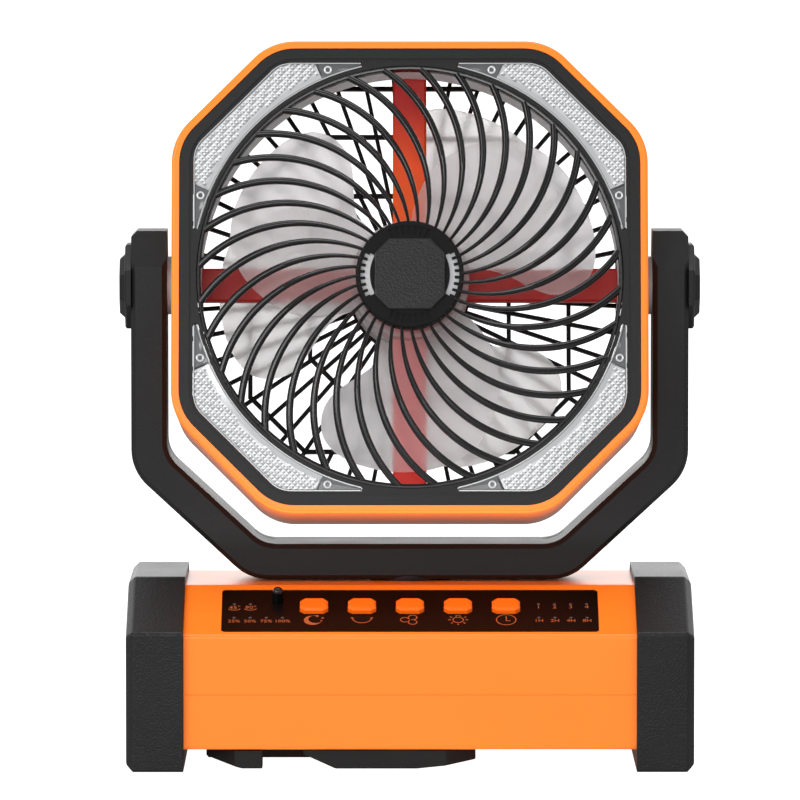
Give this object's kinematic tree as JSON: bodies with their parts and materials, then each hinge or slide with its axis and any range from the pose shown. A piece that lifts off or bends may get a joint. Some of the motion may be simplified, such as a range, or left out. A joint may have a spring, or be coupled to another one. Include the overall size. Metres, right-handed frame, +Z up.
{
  "type": "rechargeable fan",
  "caption": "Tabletop rechargeable fan: console base with push buttons and hanging hook, swinging yoke and tilting octagonal head with corner lamps and twin impellers.",
  "frame": {"origin": "on the floor under the middle of the base", "axes": "+Z up, -Y the side that the controls and the fan face, +X to the right seen from the front"},
  "size_m": [0.2586, 0.1243, 0.3187],
  "materials": {
    "orange_shell": "semi-gloss moulded ABS",
    "black_plastic": "fine spark texture",
    "panel_gloss": "polished black",
    "blade_plastic": "frosted translucent",
    "pale_plastic": "pale grey",
    "clear_lens": "clear prismatic plastic",
    "light_pipe": "clear moulded light pipe",
    "circuit_board": "green solder mask",
    "switch_plastic": "moulded nylon",
    "cell_can": "shrink-wrapped metal can",
    "motor_steel": "drawn and ground",
    "fastener_steel": "zinc plated",
    "lead_rubber": "soft insulation"
  },
  "bodies": {
    "base": {"base_upper_shell": "orange_shell", "base_lower_shell": "orange_shell", "left_end_cap": "black_plastic", "right_end_cap": "black_plastic", "control_panel": "panel_gloss", "remote_receiver": "panel_gloss", "indicator_lights": "light_pipe", "control_board": "circuit_board", "tact_switches": "switch_plastic", "battery_cells": "cell_can", "battery_tray": "black_plastic", "power_board": "circuit_board", "charge_socket": "fastener_steel", "swing_motor": "motor_steel", "slip_washer": "pale_plastic", "base_screws": "fastener_steel", "hook_pins": "fastener_steel"},
    "yoke_body": {"yoke": "black_plastic", "yoke_inner_cover": "black_plastic", "head_lead": "lead_rubber", "swing_shaft": "motor_steel", "spindle_retainer": "switch_plastic", "retainer_screws": "fastener_steel", "left_pivot_cover": "black_plastic", "right_pivot_cover": "black_plastic"},
    "head": {"head_shell": "orange_shell", "front_bezel": "black_plastic", "lamp_boards": "circuit_board", "lamp_leds": "light_pipe", "front_grille": "black_plastic", "hub_badge": "black_plastic", "duct_ring": "pale_plastic", "motor_cross": "orange_shell", "front_motor": "motor_steel", "rear_motor": "motor_steel", "rear_grille": "black_plastic", "rear_grille_screws": "fastener_steel", "pivot_pins": "fastener_steel", "tilt_washers": "pale_plastic", "pivot_screws": "fastener_steel", "upper_right_lens": "clear_lens", "upper_left_lens": "clear_lens", "lower_left_lens": "clear_lens", "lower_right_lens": "clear_lens"},
    "front_rotor": {"front_shaft": "motor_steel", "front_impeller": "blade_plastic"},
    "rear_rotor": {"rear_shaft": "motor_steel", "rear_impeller": "blade_plastic"},
    "hook": {"hanging_hook": "black_plastic"},
    "sleep_key": {"sleep_button": "orange_shell"},
    "swing_key": {"swing_button": "orange_shell"},
    "speed_key": {"speed_button": "orange_shell"},
    "light_key": {"light_button": "orange_shell"},
    "timer_key": {"timer_button": "orange_shell"}
  },
  "joints": [
    {"name": "swing", "type": "hinge", "parent": "base", "child": "yoke_body", "pos_m": [0, 0.014, 0.0795], "axis": [0, 0, 1], "range_deg": [-45, 45]},
    {"name": "tilt", "type": "hinge", "parent": "yoke_body", "child": "head", "pos_m": [0, 0.014, 0.2096], "axis": [-1, 0, 0], "range_deg": [-102, 168]},
    {"name": "front_spin", "type": "hinge", "parent": "head", "child": "front_rotor", "pos_m": [0, 0.014, 0.2096], "axis": [0, -0.9774, 0.2113], "continuous": true},
    {"name": "rear_spin", "type": "hinge", "parent": "head", "child": "rear_rotor", "pos_m": [0, 0.014, 0.2096], "axis": [0, 0.9774, -0.2113], "continuous": true},
    {"name": "hook_fold", "type": "hinge", "parent": "base", "child": "hook", "pos_m": [-0.0305, 0.006, 0.0049], "axis": [1, 0, 0], "range_deg": [0, 90]},
    {"name": "sleep_press", "type": "slide", "parent": "base", "child": "sleep_key", "axis": [0, 0.4264, -0.9045], "range_m": [0, 0.0008], "stiffness_N_per_m": 400},
    {"name": "swing_press", "type": "slide", "parent": "base", "child": "swing_key", "axis": [0, 0.4264, -0.9045], "range_m": [0, 0.0008], "stiffness_N_per_m": 400},
    {"name": "speed_press", "type": "slide", "parent": "base", "child": "speed_key", "axis": [0, 0.4264, -0.9045], "range_m": [0, 0.0008], "stiffness_N_per_m": 400},
    {"name": "light_press", "type": "slide", "parent": "base", "child": "light_key", "axis": [0, 0.4264, -0.9045], "range_m": [0, 0.0008], "stiffness_N_per_m": 400},
    {"name": "timer_press", "type": "slide", "parent": "base", "child": "timer_key", "axis": [0, 0.4264, -0.9045], "range_m": [0, 0.0008], "stiffness_N_per_m": 400}
  ]
}
